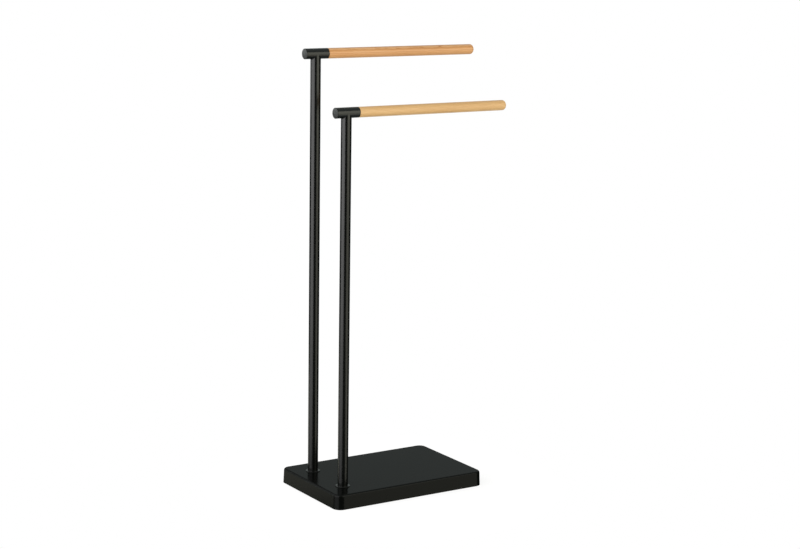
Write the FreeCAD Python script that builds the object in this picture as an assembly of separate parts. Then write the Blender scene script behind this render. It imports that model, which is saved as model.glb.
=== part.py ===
import FreeCAD, Part
import math
import os

"""Freestanding towel stand: two welded steel posts of different height stand on a weighted base,
and each carries a turned beech rail that is held at one end only.

Millimetres. X runs along the rails towards their free ends, Y from front to back, Z upwards.
The pieces are modelled about the middle of the base; save() then moves them so that the origin
lies on the floor, under the middle of the whole outline.
"""

V = FreeCAD.Vector
ALONG = V(1, 0, 0)
UP = V(0, 0, 1)

# ---- Base cover: one plastic moulding, open below ----
base_length = 332.0
base_depth = 220.0
base_height = 29.0            # top face above the floor
base_corner_radius = 16.0     # in plan, at the lower edge
base_edge_radius = 4.0        # round along the top edge
base_draft = 2.5              # degrees that the sides lean inwards
rim_clearance = 0.5           # lower edge above the floor
side_wall = 3.0
top_wall = 3.0
inner_edge_chamfer = 1.2
rib_thickness = 1.6
rib_depth = 4.0
rib_pitch = 60.0
boss_diameter = 8.0
boss_edge_distance = 16.0     # boss centre from the outer edge

# ---- Bottom plate, its screws and the feet ----
plate_recess = 1.0            # underside of the plate above the cover's lower edge
plate_thickness = 2.5
fit_gap = 0.3                 # all round a piece that drops into the cover
screw_core = 2.4
screw_length = 10.0
screw_head_diameter = 5.6
screw_head_height = 1.7
screw_hole_gap = 0.1
foot_diameter = 22.0
foot_seat_depth = 1.0
foot_edge_distance = 30.0     # foot centre from the outer edge, along the length
foot_edge_offset = 28.0       # and along the depth

# ---- Ballast block and the steel plate under the posts ----
ballast_edge_chamfer = 2.0
ballast_gap = 1.0             # round the bosses
mounting_plate_thickness = 3.0
mounting_plate_width = 44.0
mounting_plate_margin = 23.0  # from a post's axis to the plate's end
mounting_plate_corner = 6.0

# ---- Posts ----
tube_diameter = 20.0
tube_wall = 1.2
post_edge_distance = 43.0     # post axis from the base's left edge
post_spacing = 114.0          # between the two posts, front to back
rear_rail_height = 840.0      # rail axis above the floor
front_rail_height = 740.0
saddle_gap = 0.05             # root gap of the weld between post and sleeve
collar_diameter = 28.0
collar_height = 1.5
collar_edge = 0.6             # bevel along the upper edge
collar_gap = 0.2

# ---- Fastening of the posts ----
bolt_diameter = 8.0
bolt_length = 25.0            # under the head
bolt_head_diameter = 14.0
bolt_head_height = 4.4
bolt_head_bevel = 2.6
bolt_socket_width = 5.0       # across the flats
bolt_socket_depth = 2.6
bolt_hole_gap = 0.5
thread_gap = 0.05             # between the bolt and the bore of the insert
bolt_tip_gap = 3.0
insert_roof = 4.0
press_gap = 0.05              # between a pressed-in or welded-in piece and its tube
washer_diameter = 18.0
washer_thickness = 1.6
key_access_gap = 2.5          # round the washer, for the hex key

# ---- Heads: a sleeve on each post, its partition and its end cap ----
head_left = 25.0              # post axis to the outer face of the end cap
head_right = 25.0             # post axis to the open end of the sleeve
sleeve_rim_chamfer = 0.5      # also parts the sleeve's wall from the rail's
cap_thickness = 2.5
cap_dome_rise = 0.7           # of the outer face's middle over its edge
cap_edge_bevel = 0.6
cap_seam_bevel = 0.3          # makes the fine groove where the cap meets the sleeve
cap_plug_length = 12.0
cap_plug_wall = 1.5
cap_rib_count = 6             # ribs along the plug, which wedge it in the bore
cap_rib_height = 1.5
cap_rib_thickness = 1.2
partition_thickness = 3.0

# ---- Rails and the screws that hold them ----
rail_reach = 355.0            # post axis to the free end
rail_setback = 0.15           # of the wood's surface inside the sleeve's
rail_tip_radius = 6.0
spigot_length = 22.0
spigot_gap = 0.15
spigot_chamfer = 1.0
shoulder_gap = 0.1
rail_screw_shank = 5.0
rail_screw_core = 3.6
rail_screw_length = 35.0
rail_screw_head_diameter = 9.2
rail_screw_head_height = 3.0
rail_screw_head_top = 7.4     # diameter of the head's flat top
rail_screw_point = 3.0
rail_screw_gap = 0.1
cross_recess_width = 1.0
cross_recess_share = 0.6      # of the head's diameter, and of its height

# ---- Levels and places worked out from the sizes above ----
ceiling = base_height - top_wall
rib_bottom = ceiling - rib_depth
plate_bottom = rim_clearance + plate_recess
plate_top = plate_bottom + plate_thickness
foot_top = plate_bottom + foot_seat_depth
mounting_plate_bottom = ceiling - mounting_plate_thickness
bolt_seat = mounting_plate_bottom - washer_thickness
bolt_tip = bolt_seat + bolt_length
insert_hole_depth = bolt_tip - base_height + bolt_tip_gap
key_hole_diameter = washer_diameter + 2 * key_access_gap
tube_radius = tube_diameter / 2
bore_radius = tube_radius - tube_wall
post_x = post_edge_distance - base_length / 2
rail_radius = tube_radius - rail_setback
spigot_end = head_right - spigot_length
post_places = {
    "rear": (post_spacing / 2, rear_rail_height),
    "front": (-post_spacing / 2, front_rail_height),
}
outline_middle = (post_x + rail_reach - base_length / 2) / 2


def save(name, shape):
    """Moves a piece to the stand's own origin and writes it as one STEP file."""
    moved = shape.copy()
    moved.translate(V(-outline_middle, 0, 0))
    moved.exportStep(f"parts/{name}.step")


def level_edges(shape, direction, level):
    """The edges of a shape that lie wholly in the plane at this level along a direction."""
    found = []
    for edge in shape.Edges:
        heights = [point.dot(direction) for point in edge.discretize(4)]
        if max(abs(height - level) for height in heights) < 1e-4:
            found.append(edge)
    return found


def rod(diameter, start, length, direction=UP):
    return Part.makeCylinder(diameter / 2, length, start, direction)


def turned(profile, start, direction):
    """A solid of revolution: the profile holds (distance along the axis, radius) pairs."""
    side = V(0, 0, 1) if abs(direction.z) < 0.5 else V(1, 0, 0)
    points = [start + direction * along + side * radius for along, radius in profile]
    face = Part.Face(Part.makePolygon(points + points[:1]))
    return face.revolve(start, direction, 360)


def rounded_rectangle(length, depth, radius, z):
    """Closed wire centred on the origin's axis: four sides joined by four quarter circles."""
    arcs = []
    for turn, (side_x, side_y) in enumerate([(1, 1), (-1, 1), (-1, -1), (1, -1)]):
        centre = V(side_x * (length / 2 - radius), side_y * (depth / 2 - radius), z)
        first = turn * math.pi / 2
        arcs.append(Part.Circle(centre, UP, radius).toShape(first, first + math.pi / 2))
    edges = []
    for arc, following in zip(arcs, arcs[1:] + arcs[:1]):
        end = arc.valueAt(arc.LastParameter)
        edges += [arc, Part.makeLine(end, following.valueAt(following.FirstParameter))]
    return Part.Wire(edges)


def drafted_block(low, high, inset):
    """The base's drafted form between two levels, its sides set in by an even distance."""
    sections = []
    for level in (low, high):
        back = inset + (level - rim_clearance) * math.tan(math.radians(base_draft))
        radius = base_corner_radius - back
        sections.append(rounded_rectangle(base_length - 2 * back, base_depth - 2 * back, radius, level))
    return Part.makeLoft(sections, True, True)


def boss_places():
    """Plan positions of the screw bosses: four corners and the middles of the long sides."""
    x = base_length / 2 - boss_edge_distance
    y = base_depth / 2 - boss_edge_distance
    return [(side_x * x, side_y * y) for side_x in (-1, 0, 1) for side_y in (-1, 1)]


def foot_places():
    x = base_length / 2 - foot_edge_distance
    y = base_depth / 2 - foot_edge_offset
    return {
        "front_left": (-x, -y),
        "front_right": (x, -y),
        "rear_left": (-x, y),
        "rear_right": (x, y),
    }


def plate_outline(grow):
    """Plan of the mounting plate, grown by a margin on every side."""
    length = mounting_plate_width + 2 * grow
    depth = post_spacing + 2 * mounting_plate_margin + 2 * grow
    wire = rounded_rectangle(length, depth, mounting_plate_corner + grow, 0)
    wire.translate(V(post_x, 0, 0))
    return Part.Face(wire)


def upright_prism(face, low, high):
    lifted = face.copy()
    lifted.translate(V(0, 0, low))
    return lifted.extrude(V(0, 0, high - low))


def ribs():
    """Lattice of ribs below the ceiling, and a raised frame that locates the mounting plate."""
    bite = side_wall / 2
    bars = []
    across = int(base_length / 2 / rib_pitch)
    for step in range(-across, across + 1):
        corner = V(step * rib_pitch - rib_thickness / 2, -base_depth / 2, rib_bottom)
        bars.append(Part.makeBox(rib_thickness, base_depth, rib_depth + bite, corner))
    deep = int(base_depth / 2 / rib_pitch)
    for step in range(-deep, deep + 1):
        corner = V(-base_length / 2, step * rib_pitch - rib_thickness / 2, rib_bottom)
        bars.append(Part.makeBox(base_length, rib_thickness, rib_depth + bite, corner))
    lattice = bars[0].multiFuse(bars[1:])
    lattice = lattice.common(drafted_block(rib_bottom - 1, ceiling + bite, side_wall - bite))
    pocket = plate_outline(fit_gap)
    frame = upright_prism(plate_outline(fit_gap + rib_thickness), rib_bottom, ceiling + bite)
    return lattice.fuse(frame).cut(upright_prism(pocket, rib_bottom - 1, ceiling))


def base_cover():
    shell = drafted_block(rim_clearance, base_height, 0)
    shell = shell.makeFillet(base_edge_radius, level_edges(shell, UP, base_height))
    hollow = drafted_block(rim_clearance - 1, ceiling, side_wall)
    hollow = hollow.makeChamfer(inner_edge_chamfer, level_edges(hollow, UP, ceiling))
    bosses = []
    pilots = []
    for x, y in boss_places():
        bosses.append(rod(boss_diameter, V(x, y, plate_top), ceiling + top_wall / 2 - plate_top))
        depth = screw_length + screw_hole_gap
        pilots.append(rod(screw_core + 2 * screw_hole_gap, V(x, y, plate_top), depth))
    bolt_holes = []
    for y, rail_height in post_places.values():
        bolt_holes.append(rod(bolt_diameter + 2 * bolt_hole_gap, V(post_x, y, ceiling - 1), top_wall + 2))
    cover = shell.cut(hollow).multiFuse([ribs()] + bosses)
    return cover.cut(pilots + bolt_holes).removeSplitter()


def ballast_block():
    """Cast block that rests on the bottom plate, with wells for the bosses and the post bolts."""
    top = rib_bottom - fit_gap
    block = drafted_block(plate_top, top, side_wall + fit_gap)
    block = block.makeChamfer(ballast_edge_chamfer, level_edges(block, UP, top))
    height = top - plate_top + 2
    wells = []
    for x, y in boss_places():
        wells.append(rod(boss_diameter + 2 * ballast_gap, V(x, y, plate_top - 1), height))
    for y, rail_height in post_places.values():
        wells.append(rod(key_hole_diameter, V(post_x, y, plate_top - 1), height))
    return block.cut(wells)


def mounting_plate():
    plate = upright_prism(plate_outline(0), mounting_plate_bottom, ceiling)
    holes = []
    for y, rail_height in post_places.values():
        start = V(post_x, y, mounting_plate_bottom - 1)
        holes.append(rod(bolt_diameter + 2 * bolt_hole_gap, start, mounting_plate_thickness + 2))
    return plate.cut(holes)


def screw_hole(x, y):
    """Countersunk hole of a bottom screw, as the solid to be cut away."""
    head = screw_head_diameter / 2 + screw_hole_gap
    core = screw_core / 2 + screw_hole_gap
    through = plate_thickness + 1
    profile = [(-1, 0), (-1, head), (0, head), (screw_head_height, core), (through, core), (through, 0)]
    return turned(profile, V(x, y, plate_bottom), UP)


def bottom_plate():
    plate = drafted_block(plate_bottom, plate_top, side_wall + fit_gap)
    cuts = [screw_hole(x, y) for x, y in boss_places()]
    for x, y in foot_places().values():
        cuts.append(rod(foot_diameter + 2 * fit_gap, V(x, y, plate_bottom - 1), foot_seat_depth + 1))
    for y, rail_height in post_places.values():
        cuts.append(rod(key_hole_diameter, V(post_x, y, plate_bottom - 1), plate_thickness + 2))
    return plate.cut(cuts)


def cross_recess(diameter, height, start, direction):
    """Two crossed slots, as the solid to be cut from a screw head of this size."""
    length = diameter * cross_recess_share
    depth = height * cross_recess_share
    slots = []
    for long_side, short_side in ((length, cross_recess_width), (cross_recess_width, length)):
        corner = V(-long_side / 2, -short_side / 2, 0)
        slots.append(Part.makeBox(long_side, short_side, depth, corner))
    cross = slots[0].fuse(slots[1])
    cross.Placement = FreeCAD.Placement(start, FreeCAD.Rotation(UP, direction))
    return cross


def bottom_screws():
    """The countersunk screws that hold the bottom plate, as one group of equal solids."""
    head = screw_head_diameter / 2
    core = screw_core / 2
    tip = screw_length
    profile = [(0, 0), (0, head), (screw_head_height, core), (tip, core), (tip, 0)]
    screws = []
    for x, y in boss_places():
        start = V(x, y, plate_bottom)
        screw = turned(profile, start, UP)
        screws.append(screw.cut(cross_recess(screw_head_diameter, screw_head_height, start, UP)))
    return Part.makeCompound(screws)


def foot(x, y):
    """Rubber pad, cut from sheet and seated in a shallow recess of the bottom plate."""
    return rod(foot_diameter, V(x, y, 0), foot_top)


def post(y, rail_height):
    """Round tube with its top coped to a saddle that fits the underside of the sleeve."""
    start = V(post_x, y, base_height)
    length = rail_height - base_height
    tube = rod(tube_diameter, start, length).cut(rod(2 * bore_radius, start, length))
    saddle_start = V(post_x - tube_diameter, y, rail_height)
    saddle = rod(tube_diameter + 2 * saddle_gap, saddle_start, 2 * tube_diameter, ALONG)
    return tube.cut(saddle)


def post_insert(y):
    """Steel plug pressed into the foot of the post, with a blind threaded bore."""
    start = V(post_x, y, base_height)
    plug = rod(2 * (bore_radius - press_gap), start, insert_hole_depth + insert_roof)
    bore = rod(bolt_diameter + 2 * thread_gap, start, insert_hole_depth)
    return plug.cut(bore)


def post_washer(y):
    start = V(post_x, y, bolt_seat)
    hole = rod(bolt_diameter + 2 * bolt_hole_gap, start, washer_thickness)
    return rod(washer_diameter, start, washer_thickness).cut(hole)


def post_bolt(y):
    """Button-head screw, put in from below with a hex key."""
    head_bottom = bolt_seat - bolt_head_height
    head = rod(bolt_head_diameter, V(post_x, y, head_bottom), bolt_head_height)
    head = head.makeChamfer(bolt_head_bevel, level_edges(head, UP, head_bottom))
    shank = rod(bolt_diameter, V(post_x, y, bolt_seat), bolt_length)
    reach = bolt_socket_width / math.sqrt(3)
    corners = []
    for step in range(7):
        angle = step * math.pi / 3
        corners.append(V(post_x + reach * math.cos(angle), y + reach * math.sin(angle), head_bottom))
    socket = Part.Face(Part.makePolygon(corners)).extrude(UP * bolt_socket_depth)
    return head.fuse(shank).cut(socket).removeSplitter()


def post_collar(y):
    """Ring that covers the joint between post and base; its outer edge is bevelled."""
    start = V(post_x, y, base_height)
    ring = rod(collar_diameter, start, collar_height)
    ring = ring.makeChamfer(collar_edge, level_edges(ring, UP, base_height + collar_height))
    return ring.cut(rod(tube_diameter + 2 * collar_gap, start, collar_height))


def head_sleeve(y, rail_height):
    """Short level tube welded on the post: closed by the cap on the left, open to the rail."""
    left = post_x - head_left + cap_thickness
    length = post_x + head_right - left
    start = V(left, y, rail_height)
    sleeve = rod(tube_diameter, start, length, ALONG)
    sleeve = sleeve.makeChamfer(sleeve_rim_chamfer, level_edges(sleeve, ALONG, post_x + head_right))
    return sleeve.cut(rod(2 * bore_radius, start, length, ALONG))


def sleeve_partition(y, rail_height):
    """Disc welded inside the sleeve: the rail butts against it and the screw bears on it."""
    start = V(post_x + spigot_end - partition_thickness, y, rail_height)
    disc = rod(2 * (bore_radius - press_gap), start, partition_thickness, ALONG)
    hole = rod(rail_screw_shank + 2 * rail_screw_gap, start, partition_thickness, ALONG)
    return disc.cut(hole)


def rail(y, rail_height):
    """Turned beech rod: a thinner spigot in the sleeve, a shoulder, and a rounded free end."""
    shoulder = post_x + head_right + shoulder_gap
    tip = post_x + rail_reach
    body = rod(2 * rail_radius, V(shoulder, y, rail_height), tip - shoulder, ALONG)
    body = body.makeFillet(rail_tip_radius, level_edges(body, ALONG, tip))
    root = post_x + spigot_end
    start = V(root, y, rail_height)
    spigot = rod(2 * (bore_radius - spigot_gap), start, shoulder - root, ALONG)
    spigot = spigot.makeChamfer(spigot_chamfer, level_edges(spigot, ALONG, root))
    depth = rail_screw_length - partition_thickness + rail_screw_gap
    pilot = rod(rail_screw_core + 2 * rail_screw_gap, start, depth, ALONG)
    mouth = rod(rail_screw_shank + 2 * rail_screw_gap, start, rail_screw_shank, ALONG)
    return body.fuse(spigot).cut([pilot, mouth])


def rail_screw(y, rail_height):
    """Pan-head wood screw through the partition into the end of the rail."""
    head = rail_screw_head_diameter / 2
    shank = rail_screw_shank / 2
    core = rail_screw_core / 2
    back = -rail_screw_head_height
    plain = partition_thickness + shank
    tip = rail_screw_length
    profile = [(back, 0), (back, rail_screw_head_top / 2), (0, head), (0, shank), (plain, shank)]
    profile += [(plain, core), (tip - rail_screw_point, core), (tip, 0)]
    start = V(post_x + spigot_end - partition_thickness, y, rail_height)
    screw = turned(profile, start, ALONG)
    face = start + ALONG * back
    return screw.cut(cross_recess(rail_screw_head_top, rail_screw_head_height, face, ALONG))


def cap_disc(left, y, rail_height):
    """Outer part of a cap, turned from half its section: an arc for the domed face, then the bevels."""

    def at(along, radius):
        return V(left + along, y, rail_height + radius)

    rim = tube_radius - cap_edge_bevel
    dome_radius = (rim ** 2 + cap_dome_rise ** 2) / (2 * cap_dome_rise)
    halfway = dome_radius - math.sqrt(dome_radius ** 2 - rim ** 2 / 4)
    dome = Part.Arc(at(0, 0), at(halfway, rim / 2), at(cap_dome_rise, rim)).toShape()
    side = Part.makePolygon([
        at(cap_dome_rise, rim),
        at(cap_dome_rise + cap_edge_bevel, tube_radius),
        at(cap_thickness - cap_seam_bevel, tube_radius),
        at(cap_thickness, tube_radius - cap_seam_bevel),
        at(cap_thickness, 0),
        at(0, 0),
    ])
    return Part.Face(Part.Wire([dome] + side.Edges)).revolve(at(0, 0), ALONG, 360)


def end_cap(y, rail_height):
    """Moulded cap: a domed disc on a hollow plug, with ribs that wedge the plug in the sleeve."""
    left = post_x - head_left
    seat = V(left + cap_thickness, y, rail_height)
    rib_radius = bore_radius - press_gap
    plug_radius = rib_radius - cap_rib_height
    plug = rod(2 * plug_radius, seat, cap_plug_length, ALONG)
    wedges = []
    for step in range(cap_rib_count):
        corner = seat - V(0, cap_rib_thickness / 2, 0)
        wedge = Part.makeBox(cap_plug_length, cap_rib_thickness, bore_radius, corner)
        wedge.rotate(seat, ALONG, step * 360 / cap_rib_count)
        wedges.append(wedge)
    plug = plug.multiFuse(wedges).common(rod(2 * rib_radius, seat, cap_plug_length, ALONG))
    hollow_radius = plug_radius - cap_plug_wall
    hollow = rod(2 * hollow_radius, seat + ALONG * cap_plug_wall, cap_plug_length, ALONG)
    return cap_disc(left, y, rail_height).fuse(plug.cut(hollow)).removeSplitter()


os.makedirs("parts", exist_ok=True)

save("base_cover", base_cover())
save("ballast_block", ballast_block())
save("mounting_plate", mounting_plate())
save("bottom_plate", bottom_plate())
save("bottom_screws", bottom_screws())
for corner_name, (foot_x, foot_y) in foot_places().items():
    save(f"foot_{corner_name}", foot(foot_x, foot_y))
for place, (place_y, axis_height) in post_places.items():
    save(f"{place}_post", post(place_y, axis_height))
    save(f"{place}_post_insert", post_insert(place_y))
    save(f"{place}_post_bolt", post_bolt(place_y))
    save(f"{place}_post_washer", post_washer(place_y))
    save(f"{place}_post_collar", post_collar(place_y))
    save(f"{place}_head_sleeve", head_sleeve(place_y, axis_height))
    save(f"{place}_sleeve_partition", sleeve_partition(place_y, axis_height))
    save(f"{place}_rail", rail(place_y, axis_height))
    save(f"{place}_rail_screw", rail_screw(place_y, axis_height))
    save(f"{place}_end_cap", end_cap(place_y, axis_height))
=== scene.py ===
"""Looks of the freestanding towel stand: two coped steel posts with beech rails on a weighted base.

Metres, in the frame's own axes: X runs along the rails towards their free ends, Y from front to
back and Z upwards, with the origin on the floor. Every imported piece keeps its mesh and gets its
real finish here. The weld beads round the two coped joints are added, as surfaces on a grid.
"""
import math

import bpy
import numpy as np
from mathutils import Matrix, Vector


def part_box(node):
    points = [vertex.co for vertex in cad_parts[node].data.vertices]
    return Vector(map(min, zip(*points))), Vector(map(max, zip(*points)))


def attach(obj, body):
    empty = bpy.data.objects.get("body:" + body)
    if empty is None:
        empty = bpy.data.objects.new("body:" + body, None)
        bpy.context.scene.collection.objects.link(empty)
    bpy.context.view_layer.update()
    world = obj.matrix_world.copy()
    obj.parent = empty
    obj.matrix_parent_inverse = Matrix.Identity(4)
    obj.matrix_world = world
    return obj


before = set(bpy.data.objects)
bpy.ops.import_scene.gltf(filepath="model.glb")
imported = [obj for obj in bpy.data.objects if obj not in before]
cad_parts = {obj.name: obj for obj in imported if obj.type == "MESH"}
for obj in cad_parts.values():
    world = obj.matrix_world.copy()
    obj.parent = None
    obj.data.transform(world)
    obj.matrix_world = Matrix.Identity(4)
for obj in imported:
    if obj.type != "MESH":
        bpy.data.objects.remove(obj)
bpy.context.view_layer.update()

MM = 0.001
PLACES = ("rear", "front")

# ---- Camera, as the photograph was taken ----
camera_sensor = 36.0            # mm wide
camera_lens = 83.984            # mm
camera_clip = (0.05, 60.0)      # metres
camera_heading = 32.599         # degrees to the right of +Y
camera_downward = 10.821        # degrees below the horizon
camera_roll = 0.886             # degrees by which the camera's right side is raised
camera_distance = 3.5879        # back from the target, against the line of sight
camera_target = Vector((-0.033, 0.0, 0.430))
camera_shift_right = 0.02964    # metres, along the picture's own axes
camera_shift_up = -0.01210

# ---- Floor ----
floor_radius = 0.35             # a round sheet that catches the shadow; white beyond it
floor_sides = 96
floor_glow = 0.83               # share of the floor's white that shadow can't take away
floor_shade = 0.24              # share that follows the lamps

# ---- Studio: levels at which 1 is white, and heights as sines of the angle above the horizon ----
fill_level = 0.42               # even light from all round, for matt surfaces
studio_colour = "#F3FFFB"       # a faint cool green in what gloss mirrors
room_levels = [                 # what gloss sees of the dark room: height and level
    (-1.0, 0.05), (-0.86, 0.08), (-0.76, 0.42), (-0.55, 0.30), (-0.35, 0.01),
    (0.15, 0.01), (0.50, 0.20), (0.75, 0.45),
]
screen_bearing = -115.0         # a low pale screen to the left; bearings are as for the lamps
screen_half_angle = 40.0
screen_level = 2.0
screen_foot = (-0.02, 0.03)     # heights where it begins to show and where it shows in full
screen_top = (0.16, 0.22)       # and where it begins to fade and where it is gone
backdrop_bearing = 180.0        # straight behind the object
backdrop_half_angle = 30.0
backdrop_level = 1.0            # white below the horizon
backdrop_top_level = 0.58       # and dimmer above it
backdrop_horizon = (-0.04, 0.04)
side_fade = 0.1                 # how softly both end at their sides, as a difference of cosines
smooth_step = {"interpolation_type": "SMOOTHSTEP"}

# ---- Lamps ----
# The camera looks down, so the base's sides mirror what stands below floor level. The foot
# softboxes stand there, and the floor lets their light through.
lamps = {
    # name: bearing in degrees from the camera's side, positive to the picture's right; distance,
    # width, middle height and height in metres; radiance; colour
    "left_softbox": (-52.0, 1.55, 2.00, 1.10, 1.60, 2.75, "#FFFFFF"),
    "left_low_softbox": (-52.0, 1.55, 2.00, 0.15, 0.30, 2.10, "#FFFFFF"),
    "left_foot_softbox": (-52.0, 1.55, 2.00, -0.185, 0.37, 1.45, "#FFFFFF"),
    "side_softbox": (-112.0, 1.55, 0.90, 1.20, 1.20, 1.20, "#FFFFFF"),
    "side_foot_softbox": (-112.0, 1.55, 0.90, -0.25, 0.30, 1.10, "#FFFFEC"),
    "right_softbox": (54.0, 1.75, 1.60, 1.15, 1.50, 1.90, "#FFFFEC"),
    "right_low_softbox": (54.0, 1.75, 1.60, 0.10, 0.60, 1.15, "#FFFFEC"),
    "right_foot_softbox": (64.0, 1.75, 1.25, -0.36, 0.32, 1.35, "#FFFFEC"),
    "rear_strip": (158.0, 1.90, 0.60, 1.25, 1.40, 0.90, "#FFFFFF"),
}

# ---- Weld between post and sleeve ----
weld_radius = 1.3 * MM          # rolling-ball radius of the fillet
weld_root = 0.35 * MM           # how far the bead reaches into the metal
weld_ripple = 0.05 * MM         # how far the ripples vary the radius to either side
weld_ripple_count = 44          # ripples once round the post
weld_sections = 4 * weld_ripple_count
weld_face_points = 9            # across the face of each section

# ---- Beech ----
# rail: the finish's name, its pale, middle and dark colour, and the tree's centre beside the
# rail's axis as (y, z)
beeches = {
    "rear": ("beech_reddish", "#E9B884", "#DDA267", "#C58348", (16 * MM, -21 * MM)),
    "front": ("beech_honey", "#F0C992", "#E1B479", "#CB9559", (-12 * MM, -24 * MM)),
}


# ======== Nodes and colours ========

def linear(code):
    """Scene-linear RGBA of an sRGB hex colour."""
    channels = []
    for place in (1, 3, 5):
        share = int(code[place:place + 2], 16) / 255
        channels.append(share / 12.92 if share <= 0.04045 else ((share + 0.055) / 1.055) ** 2.4)
    return channels + [1.0]


def grey(level):
    """Scene-linear RGBA of a grey."""
    return [level] * 3 + [1.0]


def add(tree, kind, settings=None, links=None):
    """A node of this kind: settings are its properties, links its inputs as values or sockets."""
    node = tree.nodes.new(kind)
    for name, value in (settings or {}).items():
        setattr(node, name, value)
    for name, value in (links or {}).items():
        if isinstance(value, bpy.types.NodeSocket):
            tree.links.new(value, node.inputs[name])
        else:
            node.inputs[name].default_value = value
    return node


def set_stops(ramp, stops):
    """Gives a colour ramp these stops, from low to high, each a place from 0 to 1 and a colour."""
    elements = ramp.color_ramp.elements
    for place, _ in stops[len(elements):]:
        elements.new(place)
    for element, (place, colour) in zip(elements, stops):
        element.position = place
        element.color = colour


def new_material(name):
    """An empty node material, its tree and the object's own coordinates.
    In a Mix node of colours, inputs 6 and 7 are the two colours and output 2 is the mixed one."""
    material = bpy.data.materials.new(name)
    material.use_nodes = True
    tree = material.node_tree
    tree.nodes.clear()
    return material, tree, add(tree, "ShaderNodeTexCoord").outputs["Object"]


# ======== Finishes ========

def satin_powder_coat():
    """Polyester powder coat on steel tube: baked paint, so a soft satin gloss with the slight
    waviness called orange peel, and almost no colour of its own."""
    cloud_size, peel_size, peel_depth = 30 * MM, 1.8 * MM, 0.012 * MM
    material, tree, place = new_material("satin_powder_coat")
    cloud = add(tree, "ShaderNodeTexNoise", {}, {"Vector": place, "Scale": 1 / cloud_size}).outputs["Fac"]
    peel = add(tree, "ShaderNodeTexNoise", {}, {
        "Vector": place, "Scale": 1 / peel_size, "Detail": 1.0,
    }).outputs["Fac"]
    colour = add(tree, "ShaderNodeMix", {"data_type": "RGBA"}, {
        "Factor": cloud, 6: linear("#050605"), 7: linear("#080908"),
    }).outputs[2]
    gloss = add(tree, "ShaderNodeMapRange", {}, {
        "Value": peel, "To Min": 0.20, "To Max": 0.25,
    }).outputs["Result"]
    relief = add(tree, "ShaderNodeBump", {}, {"Height": peel, "Distance": peel_depth}).outputs["Normal"]
    shader = add(tree, "ShaderNodeBsdfPrincipled", {}, {
        "Base Color": colour,
        "Roughness": gloss,
        "IOR": 1.5,
        "Normal": relief,
    })
    add(tree, "ShaderNodeOutputMaterial", {}, {"Surface": shader.outputs["BSDF"]})
    return material


def textured_abs():
    """ABS from a spark-eroded mould: a fine even grain over a deep black, so it looks matt from
    above and mirrors softly at a flat angle, where it turns grey."""
    # The real grain is about 0.1 mm; it is drawn at 0.9 mm so that it shows in a close view.
    cloud_size, grain_size, grain_depth = 55 * MM, 0.9 * MM, 0.02 * MM
    material, tree, place = new_material("textured_abs")
    cloud = add(tree, "ShaderNodeTexNoise", {}, {
        "Vector": place, "Scale": 1 / cloud_size, "Detail": 3.0,
    }).outputs["Fac"]
    grain = add(tree, "ShaderNodeTexNoise", {}, {
        "Vector": place, "Scale": 1 / grain_size, "Detail": 2.0,
    }).outputs["Fac"]
    colour = add(tree, "ShaderNodeMix", {"data_type": "RGBA"}, {
        "Factor": cloud, 6: linear("#070807"), 7: linear("#0A0B0A"),
    }).outputs[2]
    gloss = add(tree, "ShaderNodeMapRange", {}, {
        "Value": grain, "To Min": 0.66, "To Max": 0.76,
    }).outputs["Result"]
    relief = add(tree, "ShaderNodeBump", {}, {"Height": grain, "Distance": grain_depth}).outputs["Normal"]
    # The grain scatters the plastic's own gloss, so only a thin coat is left to mirror softly.
    shader = add(tree, "ShaderNodeBsdfPrincipled", {}, {
        "Base Color": colour,
        "Roughness": gloss,
        "IOR": 1.5,
        "Specular IOR Level": 0.0,
        "Coat Weight": 0.24,
        "Coat Roughness": 0.2,
        "Normal": relief,
    })
    add(tree, "ShaderNodeOutputMaterial", {}, {"Surface": shader.outputs["BSDF"]})
    return material


def smooth_polypropylene():
    """Polypropylene from a polished mould: a slightly waxy grey-black with a broad soft gloss."""
    cloud_size, flow_size, flow_depth = 12 * MM, 0.7 * MM, 0.008 * MM
    material, tree, place = new_material("smooth_polypropylene")
    cloud = add(tree, "ShaderNodeTexNoise", {}, {"Vector": place, "Scale": 1 / cloud_size}).outputs["Fac"]
    flow = add(tree, "ShaderNodeTexNoise", {}, {"Vector": place, "Scale": 1 / flow_size}).outputs["Fac"]
    colour = add(tree, "ShaderNodeMix", {"data_type": "RGBA"}, {
        "Factor": cloud, 6: linear("#161716"), 7: linear("#1B1C1B"),
    }).outputs[2]
    gloss = add(tree, "ShaderNodeMapRange", {}, {
        "Value": flow, "To Min": 0.40, "To Max": 0.48,
    }).outputs["Result"]
    relief = add(tree, "ShaderNodeBump", {}, {"Height": flow, "Distance": flow_depth}).outputs["Normal"]
    shader = add(tree, "ShaderNodeBsdfPrincipled", {}, {
        "Base Color": colour,
        "Roughness": gloss,
        "IOR": 1.49,
        "Normal": relief,
    })
    add(tree, "ShaderNodeOutputMaterial", {}, {"Surface": shader.outputs["BSDF"]})
    return material


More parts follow.
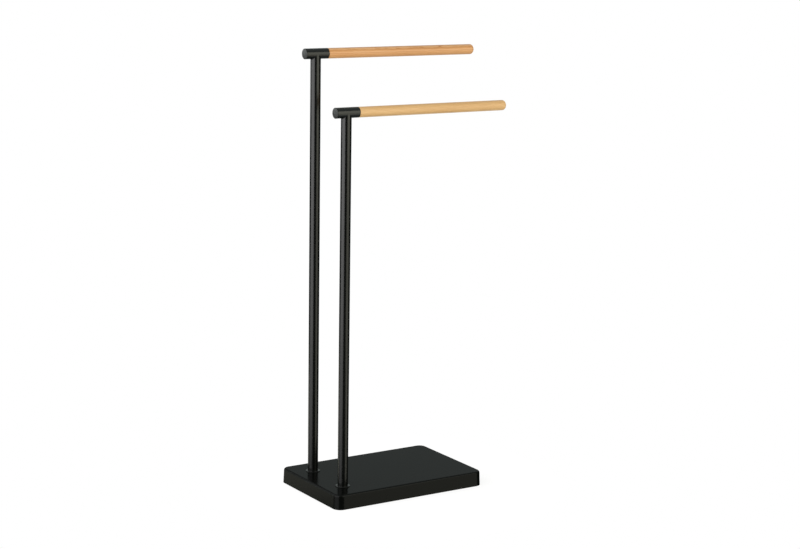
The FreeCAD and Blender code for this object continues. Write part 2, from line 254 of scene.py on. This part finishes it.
def polished_nylon():
    """Black nylon from a polished mould: a deep black body under a clear skin, whose sharper gloss
    mirrors the post that stands in the ring."""
    cloud_size, flow_size, flow_depth = 9 * MM, 1.5 * MM, 0.003 * MM
    material, tree, place = new_material("polished_nylon")
    cloud = add(tree, "ShaderNodeTexNoise", {}, {"Vector": place, "Scale": 1 / cloud_size}).outputs["Fac"]
    flow = add(tree, "ShaderNodeTexNoise", {}, {"Vector": place, "Scale": 1 / flow_size}).outputs["Fac"]
    colour = add(tree, "ShaderNodeMix", {"data_type": "RGBA"}, {
        "Factor": cloud, 6: linear("#080908"), 7: linear("#0B0C0B"),
    }).outputs[2]
    gloss = add(tree, "ShaderNodeMapRange", {}, {
        "Value": flow, "To Min": 0.45, "To Max": 0.55,
    }).outputs["Result"]
    relief = add(tree, "ShaderNodeBump", {}, {"Height": flow, "Distance": flow_depth}).outputs["Normal"]
    shader = add(tree, "ShaderNodeBsdfPrincipled", {}, {
        "Base Color": colour,
        "Roughness": gloss,
        "IOR": 1.53,
        "Specular IOR Level": 0.1,
        "Coat Weight": 0.5,
        "Coat Roughness": 0.12,
        "Normal": relief,
    })
    add(tree, "ShaderNodeOutputMaterial", {}, {"Surface": shader.outputs["BSDF"]})
    return material


def lacquered_beech(rail, name, pale, middle, dark, pith):
    """Steamed beech, turned, sanded and clear lacquered: a warm even tan with faint growth rings,
    short dark flecks along the grain and a thin satin lacquer. Rings are drawn round the tree's
    centre, so a rod cut from beside it shows them as long stripes."""
    ring_width = 2.4 * MM
    ring_turn = 20                  # radians that a wave texture turns through in one unit of scale
    # Patterns are drawn out along the rod: their scale there is this share of their scale across.
    sway_size, sway_share = 16 * MM, 0.10
    # Single fibres are too fine to show, so they are drawn as bundles.
    fibre_size, fibre_share, fibre_depth = 0.8 * MM, 0.03, 0.02 * MM
    # Flecks are about 3 mm long and 0.5 mm wide, as beech rays are.
    fleck_spacing, fleck_share = 1.5 * MM, 0.16

    low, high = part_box(rail)
    tree_y = (low.y + high.y) / 2 + pith[0]
    tree_z = (low.z + high.z) / 2 + pith[1]
    material, tree, place = new_material(name)
    sway_place = add(tree, "ShaderNodeMapping", {}, {
        "Vector": place, "Scale": (sway_share, 1.0, 1.0),
    }).outputs["Vector"]
    sway = add(tree, "ShaderNodeTexNoise", {}, {
        "Vector": sway_place, "Scale": 1 / sway_size, "Detail": 1.0,
    }).outputs["Fac"]
    ring_place = add(tree, "ShaderNodeMapping", {}, {
        "Vector": place, "Location": (0.0, -tree_y, -tree_z),
    }).outputs["Vector"]
    growth = {"wave_type": "RINGS", "rings_direction": "X", "wave_profile": "SAW"}
    rings = add(tree, "ShaderNodeTexWave", growth, {
        "Vector": ring_place,
        "Scale": math.tau / ring_turn / ring_width,
        "Distortion": 1.6,
        "Detail": 2.0,
        "Detail Scale": 0.35,
    }).outputs["Fac"]
    fibre_place = add(tree, "ShaderNodeMapping", {}, {
        "Vector": place, "Scale": (fibre_share, 1.0, 1.0),
    }).outputs["Vector"]
    fibre = add(tree, "ShaderNodeTexNoise", {}, {
        "Vector": fibre_place, "Scale": 1 / fibre_size, "Detail": 3.0, "Roughness": 0.6,
    }).outputs["Fac"]
    fleck_place = add(tree, "ShaderNodeMapping", {}, {
        "Vector": place, "Scale": (fleck_share, 1.0, 1.0),
    }).outputs["Vector"]
    fleck = add(tree, "ShaderNodeTexVoronoi", {}, {
        "Vector": fleck_place, "Scale": 1 / fleck_spacing,
    }).outputs["Distance"]
    ray = add(tree, "ShaderNodeMapRange", {}, {
        "Value": fleck, "From Min": 0.10, "From Max": 0.22, "To Min": 0.35, "To Max": 0.0,
    }).outputs["Result"]
    # Rings, fibres and sway add up to one number, which the tan colours follow.
    ringed = add(tree, "ShaderNodeMath", {"operation": "MULTIPLY"}, {0: rings, 1: 0.45}).outputs[0]
    fibred = add(tree, "ShaderNodeMath", {"operation": "MULTIPLY_ADD"}, {
        0: fibre, 1: 0.35, 2: ringed,
    }).outputs[0]
    swayed = add(tree, "ShaderNodeMath", {"operation": "MULTIPLY_ADD"}, {
        0: sway, 1: 0.30, 2: fibred,
    }).outputs[0]
    tan = add(tree, "ShaderNodeValToRGB", {}, {"Fac": swayed})
    set_stops(tan, [(0.25, linear(pale)), (0.55, linear(middle)), (0.85, linear(dark))])
    flecked = add(tree, "ShaderNodeMix", {"data_type": "RGBA"}, {
        "Factor": ray, 6: tan.outputs["Color"], 7: linear(dark),
    }).outputs[2]
    gloss = add(tree, "ShaderNodeMapRange", {}, {
        "Value": fibre, "To Min": 0.42, "To Max": 0.55,
    }).outputs["Result"]
    relief = add(tree, "ShaderNodeBump", {}, {"Height": fibre, "Distance": fibre_depth}).outputs["Normal"]
    shader = add(tree, "ShaderNodeBsdfPrincipled", {}, {
        "Base Color": flecked,
        "Roughness": gloss,
        "IOR": 1.5,
        "Coat Weight": 0.25,
        "Coat Roughness": 0.3,
        "Normal": relief,
    })
    add(tree, "ShaderNodeOutputMaterial", {}, {"Surface": shader.outputs["BSDF"]})
    return material


def bright_zinc():
    """Zinc-plated mild steel: a bright bluish-grey metal, slightly clouded by its passivation."""
    cloud_size, scuff_size, scuff_depth = 4 * MM, 0.5 * MM, 0.006 * MM
    material, tree, place = new_material("bright_zinc")
    cloud = add(tree, "ShaderNodeTexNoise", {}, {
        "Vector": place, "Scale": 1 / cloud_size, "Detail": 3.0,
    }).outputs["Fac"]
    scuff = add(tree, "ShaderNodeTexNoise", {}, {"Vector": place, "Scale": 1 / scuff_size}).outputs["Fac"]
    colour = add(tree, "ShaderNodeMix", {"data_type": "RGBA"}, {
        "Factor": cloud, 6: linear("#A0A5AA"), 7: linear("#CCCDCC"),
    }).outputs[2]
    gloss = add(tree, "ShaderNodeMapRange", {}, {
        "Value": scuff, "To Min": 0.26, "To Max": 0.42,
    }).outputs["Result"]
    relief = add(tree, "ShaderNodeBump", {}, {"Height": scuff, "Distance": scuff_depth}).outputs["Normal"]
    shader = add(tree, "ShaderNodeBsdfPrincipled", {}, {
        "Base Color": colour,
        "Metallic": 1.0,
        "Roughness": gloss,
        "Normal": relief,
    })
    add(tree, "ShaderNodeOutputMaterial", {}, {"Surface": shader.outputs["BSDF"]})
    return material


def moulded_rubber():
    """Carbon-black rubber: a dull charcoal that takes dust, with a fine pitted skin."""
    dust_size, pit_size, pit_depth = 3 * MM, 0.6 * MM, 0.03 * MM
    material, tree, place = new_material("moulded_rubber")
    dust = add(tree, "ShaderNodeTexNoise", {}, {
        "Vector": place, "Scale": 1 / dust_size, "Detail": 4.0,
    }).outputs["Fac"]
    pits = add(tree, "ShaderNodeTexNoise", {}, {"Vector": place, "Scale": 1 / pit_size}).outputs["Fac"]
    colour = add(tree, "ShaderNodeMix", {"data_type": "RGBA"}, {
        "Factor": dust, 6: linear("#151514"), 7: linear("#292928"),
    }).outputs[2]
    gloss = add(tree, "ShaderNodeMapRange", {}, {
        "Value": pits, "To Min": 0.72, "To Max": 0.88,
    }).outputs["Result"]
    relief = add(tree, "ShaderNodeBump", {}, {"Height": pits, "Distance": pit_depth}).outputs["Normal"]
    shader = add(tree, "ShaderNodeBsdfPrincipled", {}, {
        "Base Color": colour,
        "Roughness": gloss,
        "IOR": 1.52,
        "Normal": relief,
    })
    add(tree, "ShaderNodeOutputMaterial", {}, {"Surface": shader.outputs["BSDF"]})
    return material


def cast_cement():
    """Sand and cement cast in a mould: a dull warm grey, stained in patches and mottled by its
    sand, with a gritty skin."""
    stain_size, sand_size, sand_depth = 25 * MM, 1.2 * MM, 0.15 * MM
    material, tree, place = new_material("cast_cement")
    stain = add(tree, "ShaderNodeTexNoise", {}, {
        "Vector": place, "Scale": 1 / stain_size, "Detail": 4.0,
    }).outputs["Fac"]
    sand = add(tree, "ShaderNodeTexNoise", {}, {"Vector": place, "Scale": 1 / sand_size}).outputs["Fac"]
    mottle = add(tree, "ShaderNodeMath", {"operation": "MULTIPLY_ADD"}, {
        0: sand, 1: 0.5, 2: stain,
    }).outputs[0]
    share = add(tree, "ShaderNodeMapRange", {}, {
        "Value": mottle, "From Min": 0.45, "From Max": 1.0,
    }).outputs["Result"]
    colour = add(tree, "ShaderNodeMix", {"data_type": "RGBA"}, {
        "Factor": share, 6: linear("#7F7C76"), 7: linear("#A8A59D"),
    }).outputs[2]
    gloss = add(tree, "ShaderNodeMapRange", {}, {
        "Value": sand, "To Min": 0.82, "To Max": 0.95,
    }).outputs["Result"]
    relief = add(tree, "ShaderNodeBump", {}, {"Height": sand, "Distance": sand_depth}).outputs["Normal"]
    shader = add(tree, "ShaderNodeBsdfPrincipled", {}, {
        "Base Color": colour,
        "Roughness": gloss,
        "IOR": 1.5,
        "Normal": relief,
    })
    add(tree, "ShaderNodeOutputMaterial", {}, {"Surface": shader.outputs["BSDF"]})
    return material


def dress(material, *names):
    """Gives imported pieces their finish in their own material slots."""
    for name in names:
        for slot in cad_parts[name].material_slots:
            slot.material = material


# ======== Weld beads ========

def bead(name, points, material):
    """A bead of quads from a grid of points that closes on itself both ways: points[i, j] is the
    j-th point of the i-th section round the joint."""
    rows, columns = points.shape[:2]
    row, column = np.meshgrid(np.arange(rows), np.arange(columns), indexing="ij")
    next_row, next_column = (row + 1) % rows, (column + 1) % columns
    corners = [(row, column), (next_row, column), (next_row, next_column), (row, next_column)]
    quads = np.stack([r * columns + c for r, c in corners], axis=-1).reshape(-1, 4)
    mesh = bpy.data.meshes.new(name)
    mesh.from_pydata(points.reshape(-1, 3).tolist(), [], quads.tolist())
    mesh.shade_smooth()
    mesh.materials.append(material)
    piece = bpy.data.objects.new(name, mesh)
    bpy.context.scene.collection.objects.link(piece)
    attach(piece, "root")


def saddle_weld(place, material):
    """Fillet weld round the coped joint of a post and its sleeve, which have the same radius R.

    A ball of the weld's radius r rolls in the corner: at angle a round the post its centre is
    (R + r) from both axes, so it lies (R + r) |cos a| below the sleeve's axis. The face of the
    weld is the arc between the two points where the ball touches post and sleeve. The section
    is closed through a root point inside the metal. Ripples vary r a little round the joint."""
    low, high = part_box(f"{place}_post")
    sleeve_low, sleeve_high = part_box(f"{place}_head_sleeve")
    axes = np.array([(low.x + high.x) / 2, (low.y + high.y) / 2, (sleeve_low.z + sleeve_high.z) / 2])
    tube = (high.x - low.x) / 2
    around = np.linspace(0, math.tau, weld_sections, endpoint=False)[:, None]
    ball = weld_radius + weld_ripple * np.cos(weld_ripple_count * around)
    cosine, sine = np.cos(around), np.sin(around)
    reach = tube + ball
    centre = np.stack([reach * cosine, reach * sine, -reach * np.abs(cosine)], axis=-1)
    to_post = np.stack([-cosine, -sine, 0 * sine], axis=-1)
    to_sleeve = np.stack([0 * cosine, -sine, np.abs(cosine)], axis=-1)
    # The arc's angle goes to nothing at the joint's two highest points, so it stops just short.
    angle = np.arccos(np.minimum(sine ** 2, 1 - 1e-9))[..., None]
    share = np.linspace(0, 1, weld_face_points)[None, :, None]
    turn = (np.sin((1 - share) * angle) * to_post + np.sin(share * angle) * to_sleeve) / np.sin(angle)
    face = centre + ball[..., None] * turn
    inner = tube - weld_root
    root = np.stack([inner * cosine, inner * sine, -inner * np.abs(cosine)], axis=-1)
    bead(f"{place}_saddle_weld", axes + np.concatenate([face, root], axis=1), material)


# ======== Camera, lamps, floor and world ========

def level_direction(bearing):
    """Level unit vector at a bearing: degrees from the camera's side, positive to the picture's
    right."""
    heading, turn = math.radians(camera_heading), math.radians(bearing)
    towards_camera = Vector((-math.sin(heading), -math.cos(heading), 0.0))
    right = Vector((math.cos(heading), -math.sin(heading), 0.0))
    return math.cos(turn) * towards_camera + math.sin(turn) * right


def picture_axes():
    """Unit vectors of the picture: to the right, up, and into the scene."""
    tilt, roll = math.radians(camera_downward), math.radians(camera_roll)
    ahead, level = level_direction(180.0), level_direction(90.0)
    into = math.cos(tilt) * ahead + Vector((0.0, 0.0, -math.sin(tilt)))
    upright = level.cross(into)
    right = math.cos(roll) * level + math.sin(roll) * upright
    up = -math.sin(roll) * level + math.cos(roll) * upright
    return right, up, into


def photograph_camera():
    """The camera, back from its target along the line of sight and shifted in the picture's plane.
    Its own X is the picture's right, its Y the picture's up, and it looks along its -Z."""
    right, up, into = picture_axes()
    place = camera_target - into * camera_distance + right * camera_shift_right + up * camera_shift_up
    data = bpy.data.cameras.new("photograph_view")
    data.sensor_fit = "HORIZONTAL"
    data.sensor_width = camera_sensor
    data.lens = camera_lens
    data.clip_start, data.clip_end = camera_clip
    view = bpy.data.objects.new("photograph_view", data)
    view.matrix_world = Matrix.Translation(place) @ Matrix((right, up, -into)).transposed().to_4x4()
    bpy.context.scene.collection.objects.link(view)
    bpy.context.scene.camera = view


def softbox(name, bearing, distance, width, middle, height, radiance, colour):
    """An area lamp that faces the object from a bearing. Its power is pi times its area times its
    radiance, as for any flat matt source."""
    away = level_direction(bearing)
    data = bpy.data.lights.new(name, "AREA")
    data.shape = "RECTANGLE"
    data.size, data.size_y = width, height
    data.energy = radiance * math.pi * width * height
    data.color = linear(colour)[:3]
    lamp = bpy.data.objects.new(name, data)
    place = away * distance + Vector((0.0, 0.0, middle))
    lamp.matrix_world = Matrix.Translation(place) @ away.to_track_quat("Z", "Y").to_matrix().to_4x4()
    lamp.visible_camera = False
    bpy.context.scene.collection.objects.link(lamp)


def pale_floor():
    """A round sheet that the eye sees white from above, with the object's shadow. From below it is
    clear, so that the underside shows, and it lets the low lamps through to the object."""
    low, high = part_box("base_cover")
    middle = np.array([(low.x + high.x) / 2, (low.y + high.y) / 2, 0.0])
    around = np.arange(floor_sides) * math.tau / floor_sides
    rim = middle + floor_radius * np.stack([np.cos(around), np.sin(around), 0 * around], axis=1)
    mesh = bpy.data.meshes.new("floor")
    mesh.from_pydata(rim.tolist(), [], [list(range(floor_sides))])
    material, tree, _ = new_material("white_shadow_sheet")
    glow = add(tree, "ShaderNodeEmission", {}, {"Strength": floor_glow})
    shade = add(tree, "ShaderNodeBsdfDiffuse", {}, {"Color": grey(floor_shade)})
    white = add(tree, "ShaderNodeAddShader", {}, {0: glow.outputs[0], 1: shade.outputs[0]})
    clear = add(tree, "ShaderNodeBsdfTransparent")
    seen = add(tree, "ShaderNodeLightPath").outputs
    direct = add(tree, "ShaderNodeMath", {"operation": "MAXIMUM"}, {
        0: seen["Is Camera Ray"], 1: seen["Is Transmission Ray"],
    }).outputs[0]
    underneath = add(tree, "ShaderNodeNewGeometry").outputs["Backfacing"]
    shown = add(tree, "ShaderNodeMath", {"operation": "SUBTRACT", "use_clamp": True}, {
        0: direct, 1: underneath,
    }).outputs[0]
    mixed = add(tree, "ShaderNodeMixShader", {}, {0: shown, 1: clear.outputs[0], 2: white.outputs[0]})
    add(tree, "ShaderNodeOutputMaterial", {}, {"Surface": mixed.outputs[0]})
    mesh.materials.append(material)
    floor = bpy.data.objects.new("floor", mesh)
    bpy.context.scene.collection.objects.link(floor)


def near_bearing(tree, direction, bearing, half_angle):
    """1 within the half angle of a bearing and 0 beyond it, by the cosine of the angle between the
    two directions, with a soft edge."""
    edge = math.cos(math.radians(half_angle))
    along = add(tree, "ShaderNodeVectorMath", {"operation": "DOT_PRODUCT"}, {
        0: direction, 1: level_direction(bearing),
    }).outputs["Value"]
    return add(tree, "ShaderNodeMapRange", smooth_step, {
        "Value": along, "From Min": edge - side_fade, "From Max": edge + side_fade,
    }).outputs["Result"]


def room_and_screen(tree, direction, height):
    """Level of the dark room with its paler ceiling and ground, or of the low screen to the left
    where that is brighter."""
    share = add(tree, "ShaderNodeMapRange", {}, {"Value": height, "From Min": -1.0}).outputs["Result"]
    room = add(tree, "ShaderNodeValToRGB", {}, {"Fac": share})
    set_stops(room, [((sine + 1) / 2, grey(level)) for sine, level in room_levels])
    foot = add(tree, "ShaderNodeMapRange", smooth_step, {
        "Value": height, "From Min": screen_foot[0], "From Max": screen_foot[1], "To Max": screen_level,
    }).outputs["Result"]
    top = add(tree, "ShaderNodeMapRange", smooth_step, {
        "Value": height, "From Min": screen_top[0], "From Max": screen_top[1], "To Min": 1.0, "To Max": 0.0,
    }).outputs["Result"]
    strip = add(tree, "ShaderNodeMath", {"operation": "MULTIPLY"}, {0: foot, 1: top}).outputs[0]
    side = near_bearing(tree, direction, screen_bearing, screen_half_angle)
    screen = add(tree, "ShaderNodeMath", {"operation": "MULTIPLY"}, {0: side, 1: strip}).outputs[0]
    return add(tree, "ShaderNodeMath", {"operation": "MAXIMUM"}, {
        0: room.outputs["Color"], 1: screen,
    }).outputs[0]


def studio_world():
    """White to the eye and to glass; an even fill for matt surfaces. Gloss sees a real studio:
    the backdrop behind the object, a low screen to its left, and a dark room with a paler
    ceiling and ground. Every level is a function of the direction's height and bearing.
    In a Mix node of numbers, inputs 2 and 3 are the two numbers and output 0 is the mixed one."""
    world = bpy.data.worlds.new("studio")
    bpy.context.scene.world = world
    world.use_nodes = True
    tree = world.node_tree
    tree.nodes.clear()
    direction = add(tree, "ShaderNodeTexCoord").outputs["Generated"]
    height = add(tree, "ShaderNodeSeparateXYZ", {}, {0: direction}).outputs["Z"]
    backdrop = add(tree, "ShaderNodeMapRange", smooth_step, {
        "Value": height, "From Min": backdrop_horizon[0], "From Max": backdrop_horizon[1],
        "To Min": backdrop_level, "To Max": backdrop_top_level,
    }).outputs["Result"]
    mirrored = add(tree, "ShaderNodeMix", {}, {
        "Factor": near_bearing(tree, direction, backdrop_bearing, backdrop_half_angle),
        2: room_and_screen(tree, direction, height),
        3: backdrop,
    }).outputs[0]
    seen = add(tree, "ShaderNodeLightPath").outputs
    direct = add(tree, "ShaderNodeMath", {"operation": "MAXIMUM"}, {
        0: seen["Is Camera Ray"], 1: seen["Is Transmission Ray"],
    }).outputs[0]
    soft = add(tree, "ShaderNodeMix", {}, {
        "Factor": seen["Is Glossy Ray"], 2: fill_level, 3: mirrored,
    }).outputs[0]
    level = add(tree, "ShaderNodeMix", {}, {"Factor": direct, 2: soft, 3: 1.0}).outputs[0]
    colour = add(tree, "ShaderNodeMix", {"data_type": "RGBA"}, {
        "Factor": seen["Is Glossy Ray"], 6: linear("#FFFFFF"), 7: linear(studio_colour),
    }).outputs[2]
    light = add(tree, "ShaderNodeBackground", {}, {"Color": colour, "Strength": level})
    add(tree, "ShaderNodeOutputWorld", {}, {"Surface": light.outputs[0]})


# ======== Putting it together ========

paint = satin_powder_coat()
cover_plastic = textured_abs()
cap_plastic = smooth_polypropylene()
ring_plastic = polished_nylon()
zinc = bright_zinc()
zinc_parts = ("post_insert", "post_bolt", "post_washer", "sleeve_partition", "rail_screw")

dress(cover_plastic, "base_cover", "bottom_plate")
dress(cast_cement(), "ballast_block")
dress(zinc, "mounting_plate", "bottom_screws")
dress(moulded_rubber(), *[f"foot_{end}_{side}" for end in PLACES for side in ("left", "right")])
for place in PLACES:
    dress(paint, f"{place}_post", f"{place}_head_sleeve")
    dress(cap_plastic, f"{place}_end_cap")
    dress(ring_plastic, f"{place}_post_collar")
    dress(zinc, *[f"{place}_{part}" for part in zinc_parts])
    rail = f"{place}_rail"
    dress(lacquered_beech(rail, *beeches[place]), rail)
    saddle_weld(place, paint)

photograph_camera()
for lamp_name, facts in lamps.items():
    softbox(lamp_name, *facts)
pale_floor()
studio_world()
bpy.context.scene.view_settings.view_transform = "Standard"
